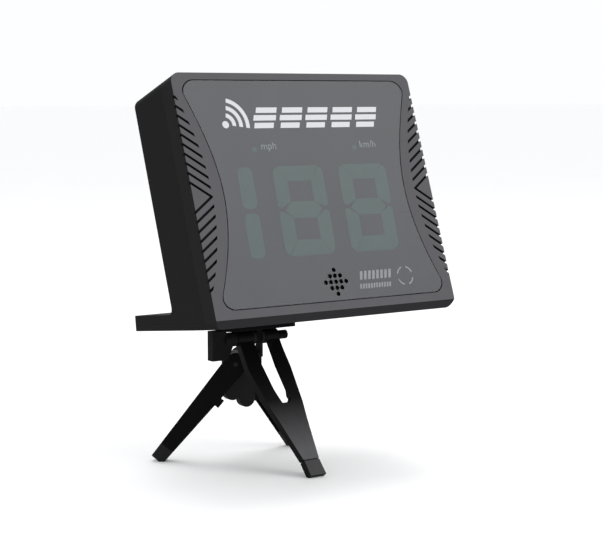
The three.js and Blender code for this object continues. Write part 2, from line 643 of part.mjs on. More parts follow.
function frontLeg() {
  const half = FRONT_LEG_THICKNESS / 2;
  const joint = FRONT_LEG_LENGTH - FOOT_LENGTH + 1.5;
  const blade = frontLegOutline([[0, -14.8, 14.8], [10, -14.8, 14.8], [23, -15.4, 15.4],
    [35, -14, 14], [47, -12.5, 12.5], [57.6, -10.3, 10.3], [72, -7.7, 7.7], [joint, -5.6, 5.6]]);
  const slot = frontLegOutline([[-10, -4.3, 7.5], [20, -4.3, 7.6], [37, -3.8, 7.2],
    [40.5, -3.2, 5.9], [43, -2.8, 6.1], [46.4, -2, 3.2]]);
  let body = cut(solid(slab(blade, -half, half)), slab(slot, -half - OVER, half + OVER));
  for (const [low, high] of [[MOUNT_X - 15.3, MOUNT_X - 4.4], [MOUNT_X + 4.4, MOUNT_X + 14.3]]) {
    body = join(body, rod(KNUCKLE_RADIUS, [low, 0, 0], [high, 0, 0]));
  }
  body = cut(body, rod(BOLT_BORE, [-60, 0, 0], [60, 0, 0], 12));
  return piece('front_leg', toGeometry(body).applyMatrix4(frontLegFrame), 'tripodBlack');
}

function frontFoot() {
  const half = FRONT_LEG_THICKNESS / 2 + 0.2;
  const joint = FRONT_LEG_LENGTH - FOOT_LENGTH + 1.5;
  const shape = frontLegOutline([[joint + GAP, -5.6, 5.6], [joint + 4, -5.7, 5.7],
    [FRONT_LEG_LENGTH + 0.3, -5.8, 5.8]]);
  const block = slab(shape, -half, half).applyMatrix4(frontLegFrame);
  return piece('front_foot', keep(solid(block), aboveFloor()), 'footGrey');
}

// A slim leg swings in the upright plane through its pivot and foot. Its pin is level and
// runs from the leg into the hub, which lies behind the left leg and before the right one.
function slimLeg(side, pivot, foot, towardsHub) {
  const down = foot.clone().sub(pivot);
  const length = down.length();
  down.normalize();
  const pin = new THREE.Vector3(-down.y, down.x, 0).normalize();
  if (pin.y * towardsHub < 0) {
    pin.negate();
  }
  const up = down.clone().negate();
  const frame = new THREE.Matrix4().makeBasis(pin, up.clone().cross(pin), up).setPosition(pivot);
  const inner = Math.sign(up.clone().cross(pin).x * -down.x);
  return { side, pivot, pin, length, frame, inner };
}

const slimLegs = [
  slimLeg('left', LEFT_PIVOT, LEFT_FOOT, 1),
  slimLeg('right', RIGHT_PIVOT, RIGHT_FOOT, -1),
];

// Half the depth of a slim leg, this far below its pivot.
function slimReach(leg, along) {
  return (SLIM_LEG_TOP + (SLIM_LEG_END - SLIM_LEG_TOP) * (along / leg.length)) / 2;
}

function slimTaper(leg, from, to) {
  const [wide, narrow] = [slimReach(leg, from), slimReach(leg, to)];
  return outline([[-wide, -from], [wide, -from], [narrow, -to], [-narrow, -to]]);
}

// The leg has a channel along its inner edge, and a small stop below the pivot.
function slimLegBar(leg) {
  const { inner, length } = leg;
  const half = SLIM_LEG_WIDTH / 2;
  const joint = length - FOOT_LENGTH;
  const channelFoot = -joint + 4;
  const channel = outline([[inner * 1.5, -16], [inner * 12, -16], [inner * 12, channelFoot],
    [inner * (slimReach(leg, joint) - 2), channelFoot]]);
  const stop = inner * slimReach(leg, 27);
  let bar = join(solid(acrossX(slimTaper(leg, 0, joint), -half, half)),
    rod(SLIM_LEG_TOP / 2, [-half, 0, 0], [half, 0, 0], 36));
  bar = cut(bar, acrossX(channel, -half + SLIM_LEG_WALL, half - SLIM_LEG_WALL),
    rod(PIN_BORE, [-9, 0, 0], [9, 0, 0], 12));
  return join(bar, box(-half, half, stop - 2.6, stop + 2.2, -28.5, -24));
}

function slimLegPieces(leg) {
  const { side, length, frame } = leg;
  const half = SLIM_LEG_WIDTH / 2;
  const tip = acrossX(slimTaper(leg, length - FOOT_LENGTH + GAP, length - 1.4), -half, half);
  const pin = rod(PIN_RADIUS, [-half, 0, 0], [half + 4.5, 0, 0], 16);
  return [
    piece(`${side}_leg`, toGeometry(slimLegBar(leg)).applyMatrix4(frame), 'tripodBlack'),
    piece(`${side}_foot`, keep(solid(tip.applyMatrix4(frame)), aboveFloor()), 'footGrey'),
    piece(`${side}_leg_pin`, pin.applyMatrix4(frame), 'steel'),
  ];
}

function tiltBolt() {
  const start = [MOUNT_X - 22, 0, AXIS_HEIGHT];
  return piece('tilt_bolt', rod(BOLT_RADIUS, start, [MOUNT_X + 20.5, 0, AXIS_HEIGHT], 16), 'steel');
}

// A round cap nut over the bolt's end.
function tiltNut() {
  const nut = solid(rod(2.8, [MOUNT_X + 15.2, 0, AXIS_HEIGHT], [MOUNT_X + 22, 0, AXIS_HEIGHT]));
  const bore = rod(BOLT_BORE, [MOUNT_X + 14, 0, AXIS_HEIGHT], [MOUNT_X + 20.8, 0, AXIS_HEIGHT], 16);
  return piece('tilt_nut', cut(nut, bore), 'tripodBlack');
}

// A wing on a short barrel. Beside the plate it is low enough to turn under it.
function tiltLever() {
  const outer = MOUNT_X - 33.3;
  const inner = outer + 15.1;
  const wing = outline([[outer, 85.2], [outer, 67], [outer + 10.9, 67], [inner, 76.2], [inner, 82.3],
    [outer + 10.2, 82.3], [outer + 9.6, 85.2]]);
  let lever = solid(slab(wing, -3, 3).rotateX(Math.PI / 2));
  lever = join(lever, rod(KNUCKLE_RADIUS, [outer + 9, 0, AXIS_HEIGHT], [MOUNT_X - 15.8, 0, AXIS_HEIGHT]));
  lever = cut(lever, rod(BOLT_BORE, [outer + 10.8, 0, AXIS_HEIGHT], [MOUNT_X - 14, 0, AXIS_HEIGHT], 16));
  return piece('tilt_lever', lever, 'tripodBlack');
}

// ---------------------------------------------------------------- assembly

const display = new THREE.Group();
display.add(rearHousing(), frontBezel(), baseCover(), displayWindow(), mainBoard(), radarModule(),
  speaker(), keyBoard(), batteryTray(), batteryDoor(), threadInsert(),
  digitBlock('digit_hundreds', HUNDREDS_CENTRE, 'one'),
  digitBlock('digit_tens', TENS_CENTRE, 'eight'),
  digitBlock('digit_units', UNITS_CENTRE, 'eight'),
  unitLamp('left_unit_lamp', -37), unitLamp('right_unit_lamp', 34.5),
  batteryContacts('battery_contact_lower', -1), batteryContacts('battery_contact_upper', 1),
  pushButton('power_button', -1), pushButton('units_button', 0), pushButton('mode_button', 1),
  platePad(), tiltHead(), mountStud());
for (let index = 0; index < 4; index += 1) {
  display.add(battery(index));
}
const caseScrewPlaces = SCREW_HEIGHTS.flatMap((height) => [[-SCREW_X, height], [SCREW_X, height]]);
caseScrewPlaces.forEach(([x, y], index) => {
  display.add(screw(`housing_screw_${index + 1}`, CASE_SCREW,
    [x, y, -CASE_DEPTH + 3.4], [x, y, -6.2], faceFrame));
});
baseScrewPlaces().forEach(([x, y], index) => {
  display.add(screw(`base_screw_${index + 1}`, BASE_SCREW, [x, y, 0.2], [x, y, BASE_SCREW.depth]));
});
display.rotation.x = -HEAD_TILT;
display.position.set(0, 0, AXIS_HEIGHT)
  .sub(new THREE.Vector3(0, MOUNT_Y, -AXIS_DROP).applyEuler(display.rotation));

const part = new THREE.Group();
part.add(display, hub(), frontLeg(), frontFoot(), tiltBolt(), tiltNut(), tiltLever());
for (const leg of slimLegs) {
  part.add(...slimLegPieces(leg));
}

// Stand the part on the centre of its bounding box's bottom face.
part.updateMatrixWorld(true);
const bounds = new THREE.Box3().setFromObject(part, true);
part.position.set(-(bounds.min.x + bounds.max.x) / 2, -(bounds.min.y + bounds.max.y) / 2, -bounds.min.z);

export default part;
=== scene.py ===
"""Sports speed-radar display on a folding tabletop tripod: finished pieces, materials, light and camera."""
import json
import math

import bmesh
import bpy
from mathutils import Matrix, Vector
from mathutils.geometry import interpolate_bezier


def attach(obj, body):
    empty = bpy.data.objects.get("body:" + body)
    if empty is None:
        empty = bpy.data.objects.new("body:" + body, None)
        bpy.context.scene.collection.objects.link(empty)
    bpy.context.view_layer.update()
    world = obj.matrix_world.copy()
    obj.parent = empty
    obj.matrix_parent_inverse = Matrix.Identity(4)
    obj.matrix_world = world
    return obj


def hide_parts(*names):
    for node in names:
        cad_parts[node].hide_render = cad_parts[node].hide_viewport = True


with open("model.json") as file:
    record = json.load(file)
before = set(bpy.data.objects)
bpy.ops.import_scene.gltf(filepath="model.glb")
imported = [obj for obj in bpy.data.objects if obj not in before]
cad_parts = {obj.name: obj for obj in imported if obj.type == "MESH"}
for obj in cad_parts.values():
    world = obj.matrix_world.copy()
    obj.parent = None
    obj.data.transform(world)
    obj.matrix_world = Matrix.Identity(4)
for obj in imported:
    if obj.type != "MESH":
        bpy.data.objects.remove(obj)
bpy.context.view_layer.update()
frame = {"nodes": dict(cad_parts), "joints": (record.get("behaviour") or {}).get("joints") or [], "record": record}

# ------------------------------------------------------------------ sizes, in millimetres

MM = 0.001
FACE_LEAN = math.radians(12.5)      # the face, from the case's own base
HEAD_TILT = math.radians(7.4)       # the case, tilted back on the tripod
LIP_HEIGHT = 5
MOUNT = Vector((-8, 82, -10.1))     # tilt axis in the case's frame
CASE_DEPTH = 46
WINDOW_MIDDLE = 73
PANE_THICKNESS = 1.5
MASK_FRONT = -1.75                  # black sheet behind the window
SPEAKER_MIDDLE = 16.6
SPEAKER_PITCH = 3.6
SPEAKER_HOLE = 1.32
COVER_THICKNESS = 2.5
BEZEL_DEPTH = 12
SEAL_INSET = 0.8
HAZE_CLEAR = 0.56                   # what the hazy front of the pane lets through
LIP_PAINTED_LIGHT = 0.13                     # painted light on the lip, as a share of the face's painted light
PANE_FIT = 0.9928                   # the pane against its opening
DIGIT_LOW = 34
DIGIT_HEIGHT = 54.2
DIGIT_SLANT = 0.035
DIGITS = {"digit_hundreds": -47.5, "digit_tens": -10.9, "digit_units": 36}
BATTERY_PITCH = 15.2
BATTERY_DEPTH = -35.2               # axes of the cells, behind the face
BATTERY_MIDDLE = 52
PRINT_THICKNESS = 0.04
ORNAMENT_THICKNESS = 0.03
GASKET_GAP = 0.05
GASKET_THICKNESS = 0.2
BAR_THICKNESS = 0.18
LETTER_HEIGHT = 4.6
BEVEL_ANGLE = math.radians(28)      # edges sharper than this are rounded
SMOOTH_ANGLE = math.radians(32)     # edges sharper than this stay sharp in shading
FRONT_LEG_OUTWARD = (0, -0.825, 0.565)


def joint_place(name):
    joint = next(j for j in frame["joints"] if j["name"] == name)
    return Vector(joint["pos_m"])


CASE = (Matrix.Translation(joint_place("display_tilt")) @ Matrix.Rotation(-HEAD_TILT, 4, "X")
        @ Matrix.Translation(-MOUNT * MM) @ Matrix.Scale(MM, 4))
FACE = CASE @ Matrix.Translation((0, 0, LIP_HEIGHT)) @ Matrix.Rotation(math.pi / 2 - FACE_LEAN, 4, "X")


# ------------------------------------------------------------------ shader maths

class Value:
    """A shader socket. Sums and products on it add Math nodes."""

    def __init__(self, shader, socket):
        self.shader = shader
        self.socket = socket

    def maths(self, operation, first, second):
        return self.shader.node("ShaderNodeMath", {"operation": operation}, [first, second])

    def __add__(self, other):
        return self.maths("ADD", self, other)

    def __sub__(self, other):
        return self.maths("SUBTRACT", self, other)

    def __mul__(self, other):
        return self.maths("MULTIPLY", self, other)

    def __rsub__(self, other):
        return self.maths("SUBTRACT", other, self)

    __radd__ = __add__
    __rmul__ = __mul__


class Shader:
    """One material's node tree, ending in a Principled shader."""

    def __init__(self, name, **constants):
        self.material = bpy.data.materials.new(name)
        self.material.use_nodes = True
        self.tree = self.material.node_tree
        self.tree.nodes.clear()
        self.surface = self.tree.nodes.new("ShaderNodeBsdfPrincipled")
        self.out = self.tree.nodes.new("ShaderNodeOutputMaterial")
        self.tree.links.new(self.surface.outputs[0], self.out.inputs[0])
        for socket, value in constants.items():
            self.surface.inputs[socket.replace("_", " ")].default_value = value

    def node(self, kind, settings=None, inputs=(), output=0):
        made = self.tree.nodes.new(kind)
        for name, value in (settings or {}).items():
            if name == "stops":
                self.set_ramp(made.color_ramp, value)
            else:
                setattr(made, name, value)
        pairs = inputs.items() if isinstance(inputs, dict) else enumerate(inputs)
        for key, value in pairs:
            self.feed(made.inputs[key], value)
        return Value(self, made.outputs[output])

    def set_ramp(self, ramp, stops):
        while len(ramp.elements) < len(stops):
            ramp.elements.new(0.5)
        for element, (place, level) in zip(ramp.elements, stops):
            element.position = place
            element.color = (level, level, level, 1)

    def feed(self, socket, value):
        if isinstance(value, Value):
            self.tree.links.new(value.socket, socket)
        else:
            socket.default_value = value

    def set(self, **links):
        for socket, value in links.items():
            self.feed(self.surface.inputs[socket.replace("_", " ")], value)
        return self

    def place(self, stretch=(1, 1, 1)):
        spot = self.node("ShaderNodeTexCoord", output=3)
        return self.node("ShaderNodeMapping", {}, {"Vector": spot, "Scale": stretch})

    def noise(self, scale, detail=2.0, roughness=0.5, **spread):
        return self.node("ShaderNodeTexNoise", {}, {
            "Vector": self.place(**spread), "Scale": scale, "Detail": detail, "Roughness": roughness})

    def ramp(self, value, *stops):
        return self.node("ShaderNodeValToRGB", {"stops": stops}, [value])

    def mix(self, factor, first, second):
        return self.node("ShaderNodeMix", {"data_type": "RGBA"}, {0: factor, 6: first, 7: second}, 2)

    def bump(self, height, distance):
        return self.node("ShaderNodeBump", {}, {"Height": height, "Distance": distance, "Strength": 1.0})

    def marked(self, name):
        """A piece's own mark, such as "edge" on rounded edges or "front" on faces that look forwards."""
        return self.node("ShaderNodeAttribute", {"attribute_name": name}, output=2)


def tone(colour, factor):
    return (*(min(1, part * factor) for part in colour), 1)


# ------------------------------------------------------------------ materials

def moulded_plastic(name, colour, roughness, gloss, grain=1500, depth=0.00003, wear=1.8, front_painted_light=1.0):
    """Injection-moulded plastic: spark-eroded grain, faint flow marks, edges rubbed lighter and shinier; faces
    marked front can get painted light, a brighter base colour.
    """
    shader = Shader(name, IOR=1.5, Specular_IOR_Level=gloss)
    flow = shader.noise(18, 3, 0.6)
    grains = shader.noise(grain, 2, 0.6)
    scuffs = shader.ramp(shader.noise(60, 5, 0.7), (0.52, 0), (0.75, 1))
    rubbed = shader.marked("edge") * shader.ramp(shader.noise(140, 3, 0.6), (0.3, 0.25), (0.7, 1))
    base = shader.mix(flow, tone(colour, 0.88), tone(colour, 1.12))
    # painted light: faces marked front get a brighter copy of the colour, standing in for the lamp's sheen on the
    # face
    if front_painted_light != 1:
        face = shader.mix(flow, tone(colour, front_painted_light * 0.95), tone(colour, front_painted_light * 1.05))
        base = shader.mix(shader.marked("front"), base, face)
    base = shader.mix(scuffs * 0.10, base, tone(colour, 1.9))
    base = shader.mix(rubbed * 0.6, base, tone(colour, wear))
    rough = flow * 0.08 + (grains * 0.10 + (roughness - 0.09)) - rubbed * 0.08
    return shader.set(Base_Color=base, Roughness=rough, Normal=shader.bump(grains, depth)).material


def smoked_window(name):
    """Tinted sheet: a hazy grey surface over a clear body, so that what lies behind shows faintly."""
    shader = Shader(name, IOR=1.49, Specular_IOR_Level=0.45)
    haze = shader.noise(9, 3, 0.5)
    dust = shader.ramp(shader.noise(420, 4, 0.7), (0.66, 0), (0.78, 1))
    smears = shader.noise(30, 4, 0.6, stretch=(1, 0.35, 0.6))
    base = shader.mix(haze, (0.128, 0.133, 0.145, 1), (0.146, 0.151, 0.164, 1))
    base = shader.mix(dust * 0.10, base, (0.5, 0.5, 0.5, 1))
    clear = shader.marked("clear")
    base = shader.mix(shader.ramp(clear, (0.1, 0), (0.5, 1)), (0.004, 0.004, 0.004, 1), base)
    rough = smears * 0.10 + (dust * 0.2 + 0.24)
    cover = 1 - clear * (1.02 - haze * 0.04)
    shader.set(Base_Color=base, Roughness=rough, Alpha=cover, Normal=shader.bump(smears, 0.00002))
    return shader.material


def light_guide(name):
    """Milky green-grey plastic of an unlit digit bar."""
    shader = Shader(name, IOR=1.5, Specular_IOR_Level=0)
    cloud = shader.noise(70, 3, 0.5)
    base = shader.mix(cloud, (0.016, 0.075, 0.055, 1), (0.022, 0.088, 0.066, 1))
    rough = shader.noise(300, 2) * 0.2 + 0.35
    return shader.set(Base_Color=base, Roughness=rough, Normal=shader.bump(cloud, 0.00002)).material


def screen_ink(name, colour, strength=1.0, gloss=0.12):
    """Screen-printed ink with slightly uneven cover."""
    shader = Shader(name, IOR=1.45, Specular_IOR_Level=gloss)
    cover = shader.ramp(shader.noise(900, 3, 0.6), (0.3, 0.8), (0.6, 1))
    base = shader.mix(cover, tone(colour, 0.82), tone(colour, 1))
    rough = cover * 0.15 + 0.35
    shader.set(Base_Color=base, Roughness=rough, Normal=shader.bump(cover, 0.000003))
    if strength < 1:
        shader.set(Alpha=cover * 0.1 + (strength - 0.1))
    return shader.material


def blade_with_painted_sheen(name, colour, sheen):
    """The tripod's black plastic, with a painted sheen: faces marked front are lighter towards the foot."""
    shader = Shader(name, IOR=1.5, Specular_IOR_Level=0.05)
    height = shader.node("ShaderNodeSeparateXYZ", {}, [shader.place()], 2)
    # painted sheen: a lighter base colour low on forward faces stands in for the lamp's reflection
    painted_sheen = shader.ramp(height * 18, (0.28, 1), (0.80, 0)) * shader.marked("front")
    streaks = shader.noise(260, 3, 0.6, stretch=(1, 0.2, 0.2))
    base = shader.mix(streaks, tone(colour, 0.85), tone(colour, 1.2))
    base = shader.mix(painted_sheen, base, shader.mix(streaks, tone(sheen, 0.88), tone(sheen, 1.12)))
    base = shader.mix(shader.marked("edge") * 0.5, base, tone(colour, 3.0))
    rough = 0.42 - painted_sheen * 0.08 + streaks * 0.08
    return shader.set(Base_Color=base, Roughness=rough, Normal=shader.bump(streaks, 0.00001)).material


def rubber(name, colour):
    """Matt moulded rubber or paper with a fine speckle."""
    shader = Shader(name, IOR=1.5, Specular_IOR_Level=0.2)
    speckle = shader.noise(900, 3, 0.7)
    base = shader.mix(speckle, tone(colour, 0.75), tone(colour, 1.35))
    rubbed = shader.marked("edge") * shader.noise(200, 3)
    base = shader.mix(rubbed * 0.8, base, tone(colour, 2.2))
    rough = speckle * 0.15 + 0.68
    return shader.set(Base_Color=base, Roughness=rough, Normal=shader.bump(speckle, 0.00003)).material


def plated_steel(name, colour=(0.62, 0.62, 0.64)):
    """Plated or turned metal with fine brushing and faint stains."""
    shader = Shader(name)
    brushed = shader.noise(700, 3, 0.6)
    stain = shader.noise(60, 4, 0.6)
    base = shader.mix(stain, tone(colour, 0.8), tone(colour, 1.08))
    rough = brushed * 0.2 + (stain * 0.1 + 0.2)
    return shader.set(Base_Color=base, Roughness=rough, Metallic=1.0,
                      Normal=shader.bump(brushed, 0.00001)).material


def circuit_board(name):
    """Solder mask over copper tracks that run in steps across the board."""
    shader = Shader(name, IOR=1.5)
    tracks = shader.node("ShaderNodeTexBrick", {"offset": 0.37, "squash": 1.7}, {
        "Vector": shader.place(), "Scale": 120.0, "Mortar Size": 0.03, "Color1": (0, 0, 0, 1),
        "Color2": (0.25, 0.25, 0.25, 1), "Mortar": (1, 1, 1, 1)})
    base = shader.mix(tracks, (0.008, 0.075, 0.035, 1), (0.03, 0.17, 0.07, 1))
    return shader.set(Base_Color=base, Roughness=tracks * 0.1 + 0.35,
                      Normal=shader.bump(tracks, 0.00003)).material


def cell_sleeve(name):
    """Foil sleeve of a battery: a dark barrel with a copper band at the positive end."""
    shader = Shader(name, IOR=1.5)
    band = shader.marked("band")
    wrinkle = shader.noise(180, 3, 0.6)
    base = shader.mix(band, (0.02, 0.022, 0.026, 1), (0.55, 0.27, 0.12, 1))
    base = shader.mix(wrinkle * 0.15, base, (0.3, 0.3, 0.3, 1))
    return shader.set(Base_Color=base, Roughness=wrinkle * 0.15 + 0.25, Metallic=band * 0.7 + 0.1,
                      Normal=shader.bump(wrinkle, 0.00002)).material


CHARCOAL = (0.0092, 0.0091, 0.0098)
BLACK = (0.0040, 0.0040, 0.0042)
LEVER_BLACK = (0.0085, 0.0085, 0.0088)
HUB_BLACK = (0.0150, 0.0150, 0.0155)
finish = {
    "case_shell": moulded_plastic("charcoal_case", CHARCOAL, 0.55, gloss=0.022, grain=1400, depth=0.00004),
    # painted light: the bezel's front face gets a base colour 9.6 times the charcoal
    "bezel": moulded_plastic("bezel_painted_light", CHARCOAL, 0.5, gloss=0.028, grain=1700, front_painted_light=9.6),
    "base_cover": moulded_plastic("base_plastic", CHARCOAL, 0.55, gloss=0.022),
    "window": smoked_window("smoked_window"),
    "circuit_board": circuit_board("solder_mask"),
    "speaker_cone": rubber("paper_cone", (0.02, 0.02, 0.02)),
    "digit": light_guide("light_guide"),
    "cell": cell_sleeve("foil_sleeve"),
    "tripod": moulded_plastic("tripod_black", BLACK, 0.45, 0.02, 1200, wear=3.0),
    "foot_tip": rubber("foot_rubber", (0.020, 0.020, 0.0205)),
    "rubber": rubber("soft_rubber", (0.006, 0.006, 0.0065)),
    "steel": plated_steel("zinc_plate"),
    "brass": plated_steel("turned_brass", (0.72, 0.52, 0.26)),
}
# painted sheen on the front leg and the front foot, in the given colours
blade_black = blade_with_painted_sheen("blade_black", BLACK, (0.080, 0.080, 0.083))
tip_black = blade_with_painted_sheen("tip_black", BLACK, (0.047, 0.047, 0.048))
hub_black = moulded_plastic("hub_black", HUB_BLACK, 0.45, 0.02, 1200, wear=2.0)
lever_black = moulded_plastic("lever_black", LEVER_BLACK, 0.45, 0.02, 1200, wear=2.0)
dark_steel = plated_steel("black_oxide", (0.012, 0.012, 0.013))
mask_black = screen_ink("mask_black", (0.004, 0.004, 0.0045), gloss=0)
white_ink = screen_ink("white_ink", (0.56, 0.56, 0.58))
pale_ink = screen_ink("pale_ink", (0.32, 0.33, 0.35), 0.66)
faint_ink = screen_ink("faint_ink", (0.32, 0.36, 0.36), 0.55)


# ------------------------------------------------------------------ mesh helpers

def circle(middle_x, middle_y, radius, sides=24):
    angles = [2 * math.pi * step / sides for step in range(sides)]
    return [(middle_x + radius * math.cos(a), middle_y + radius * math.sin(a)) for a in angles]


def slanted(points, slope=DIGIT_SLANT):
    return [(x + y * slope, y) for x, y in points]


def moved(points, dx, dy):
    return [(x + dx, y + dy) for x, y in points]


def ring_edges(mesh, rim, height):
    corners = [mesh.verts.new((x, y, height)) for x, y in rim]
    return [mesh.edges.new((corners[i - 1], corners[i])) for i in range(len(corners))]


def thicken(mesh, faces, height):
    """Raises flat faces into a solid."""
    made = bmesh.ops.extrude_face_region(mesh, geom=faces)
    raised = [item for item in made["geom"] if isinstance(item, bmesh.types.BMVert)]
    bmesh.ops.translate(mesh, verts=raised, vec=(0, 0, height))


def add_sheet(mesh, rims, low, high):
    """A flat sheet from its outer rim and the rims of its holes, given thickness."""
    before = set(mesh.faces)
    edges = [edge for rim in rims for edge in ring_edges(mesh, rim, low)]
    bmesh.ops.triangle_fill(mesh, edges=edges, use_beauty=True, use_dissolve=False)
    thicken(mesh, [face for face in mesh.faces if face not in before], high - low)


def sheet(rims, low, high):
    mesh = bmesh.new()
    add_sheet(mesh, rims, low, high)
    return mesh


def turned(profile, sides):
    """Turns a profile of (radius, height) points about the upright axis."""
    mesh = bmesh.new()
    line = [mesh.verts.new((radius, 0, height)) for radius, height in profile]
    edges = [mesh.edges.new(pair) for pair in zip(line, line[1:])]
    bmesh.ops.spin(mesh, geom=line + edges, cent=(0, 0, 0), axis=(0, 0, 1), dvec=(0, 0, 0),
                   angle=2 * math.pi, steps=sides, use_merge=True)
    return mesh


def add_cylinder(mesh, radius, low, high, sides=32):
    middle = Matrix.Translation((0, 0, (low + high) / 2))
    bmesh.ops.create_cone(mesh, cap_ends=True, segments=sides, radius1=radius, radius2=radius,
                          depth=high - low, matrix=middle)


def along(start, end):
    """A place whose upright axis runs from one point to another."""
    direction = Vector(end) - Vector(start)
    return Matrix.Translation(start) @ direction.to_track_quat("Z", "Y").to_matrix().to_4x4()


def round_edges(mesh, radius, segments=2):
    """Rounds every sharp edge and marks the rounding for wear."""
    mark = mesh.faces.layers.float.get("edge") or mesh.faces.layers.float.new("edge")
    sharp = [edge for edge in mesh.edges
             if edge.is_manifold and edge.calc_face_angle() > BEVEL_ANGLE]
    made = bmesh.ops.bevel(mesh, geom=sharp, offset=radius, offset_type="OFFSET", affect="EDGES",
                           segments=segments, profile=0.5, material=-1, clamp_overlap=True)
    for face in made["faces"]:
        face[mark] = 1


def copied(node):
    """A CAD piece's mesh with its loose triangles merged into whole faces, in metres."""
    mesh = bmesh.new()
    mesh.from_mesh(frame["nodes"][node].data)
    bmesh.ops.remove_doubles(mesh, verts=mesh.verts, dist=0.000002)
    bmesh.ops.dissolve_limit(mesh, angle_limit=math.radians(1), verts=mesh.verts, edges=mesh.edges)
    return mesh


def finished(mesh, name, material, body="display", place=FACE, nodes=()):
    """Makes the object in its place, with its material, ties it to its body and hides the CAD nodes it replaces.
    """
    bmesh.ops.remove_doubles(mesh, verts=mesh.verts, dist=0.000001 / place.median_scale)
    bmesh.ops.recalc_face_normals(mesh, faces=mesh.faces)
    data = bpy.data.meshes.new(name)
    mesh.to_mesh(data)
    mesh.free()
    data.transform(place)
    data.shade_smooth()
    data.set_sharp_from_angle(angle=SMOOTH_ANGLE)
    data.materials.append(material)
    made = bpy.data.objects.new(name, data)
    bpy.context.scene.collection.objects.link(made)
    shading = made.modifiers.new("flat_faces_stay_flat", "WEIGHTED_NORMAL")
    shading.keep_sharp = True
    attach(made, body)
    if nodes:
        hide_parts(*nodes)
    return made


def refined(node, slot, body, radius, segments=2, outward=None, material=None):
    """The CAD piece itself, with rounded edges and its finish."""
    mesh = copied(node)
    round_edges(mesh, radius * MM, segments)
    if outward:
        mark_front(mesh, outward)
    return finished(mesh, f"{node}_moulding", material or finish[slot], body,
                    Matrix.Identity(4), (node,))


# ------------------------------------------------------------------ display case

def window_rim(steps=15):
    """The window's outline, waisted like an hourglass, counter-clockwise from its lower right corner."""
    curves = [
        ((71, 5), (75.5, 5), (79.8, 9.5), (77.8, 14)),
        ((77.8, 14), (72.3, 28), (64.8, 48), (64.8, 71)),
        ((64.8, 71), (64.8, 95), (73.5, 117), (78.8, 132)),
        ((78.8, 132), (80.2, 135.2), (76.4, 140.8), (71, 140.8)),
    ]
    right = []
    for start, leaving, arriving, end in curves:
        line = interpolate_bezier(*(Vector((*p, 0)) for p in (start, leaving, arriving, end)), steps)
        right += [(point.x, point.y) for point in line[:-1]]
    right.append((71, 140.8))
    rim = right + [(-x, y) for x, y in reversed(right)]
    return [(x * PANE_FIT, WINDOW_MIDDLE + (y - WINDOW_MIDDLE) * PANE_FIT) for x, y in rim]


def speaker_rims(radius):
    rims = []
    for row in range(-2, 3):
        reach = 2 - abs(row)
        for column in range(-reach, reach + 1):
            rims.append(circle(column * SPEAKER_PITCH, SPEAKER_MIDDLE + row * SPEAKER_PITCH, radius, 20))
    return rims


def mark_front(mesh, outward, least=0.6):
    """Marks the faces that look the given way."""
    mark = mesh.faces.layers.float.new("front")
    mesh.normal_update()
    for face in mesh.faces:
        face[mark] = float(face.normal.dot(Vector(outward).normalized()) > least)


def make_case():
    bezel = copied("front_bezel")
    round_edges(bezel, 0.45 * MM)
    # faces that look straight out of the face are marked for the bezel's painted light
    mark_front(bezel, FACE.to_3x3() @ Vector((0, 0, 1)), 0.97)
    mark = bezel.faces.layers.float["front"]
    to_face = FACE.inverted()
    # faces that look towards the front but are not marked, such as the lip, get a share of the painted light
    for face in bezel.faces:
        if (to_face @ face.calc_center_median()).z < -1.5 and face.normal.z > 0.3:
            face[mark] = 0      # the floors of the grip grooves get no painted light, which leaves painted shade in them
        elif face.normal.y < -0.8 and not face[mark]:
            face[mark] = LIP_PAINTED_LIGHT
    finished(bezel, "front_bezel_moulding", finish["bezel"], place=Matrix.Identity(4),
             nodes=("front_bezel",))
    refined("rear_housing", "case_shell", "display", 0.5)
    refined("base_cover", "base_cover", "display", 0.3)


def seam_seal(name, node, place, level, outward):
    """A thin gasket on a joint face of the CAD piece, drawn back from its rim, so the seam is closed."""
    mesh = copied(node)
    bmesh.ops.transform(mesh, matrix=place.inverted(), verts=mesh.verts)
    mesh.normal_update()
    others = [face for face in mesh.faces
              if abs(face.calc_center_median().z - level) > 0.02 or face.normal.z * outward < 0.99]
    bmesh.ops.delete(mesh, geom=others, context="FACES")
    rim = bmesh.ops.inset_region(mesh, faces=mesh.faces[:], thickness=SEAL_INSET, use_even_offset=True)
    bmesh.ops.delete(mesh, geom=rim["faces"], context="FACES")
    bmesh.ops.translate(mesh, verts=mesh.verts, vec=(0, 0, outward * GASKET_GAP))
    thicken(mesh, mesh.faces[:], outward * GASKET_THICKNESS)
    finished(mesh, name, finish["rubber"], place=place)


def make_seals():
    seam_seal("base_gasket", "base_cover", CASE, COVER_THICKNESS, 1)
    seam_seal("bezel_gasket", "front_bezel", FACE, -BEZEL_DEPTH, -1)


def make_window():
    pane = sheet([window_rim()] + speaker_rims(SPEAKER_HOLE), -PANE_THICKNESS, 0)
    round_edges(pane, 0.18)
    pane.normal_update()
    clear = pane.faces.layers.float.new("clear")
    for face in pane.faces:
        if abs(face.normal.z) > 0.6:
            outer = face.calc_center_median().z > -PANE_THICKNESS / 2
            face[clear] = HAZE_CLEAR if outer else 1
    finished(pane, "window_pane", finish["window"], nodes=("display_window",))
    backing = sheet([window_rim()] + speaker_rims(SPEAKER_HOLE + 0.1),
                    MASK_FRONT - 0.45, MASK_FRONT - 0.2)
    finished(backing, "window_mask", mask_black)


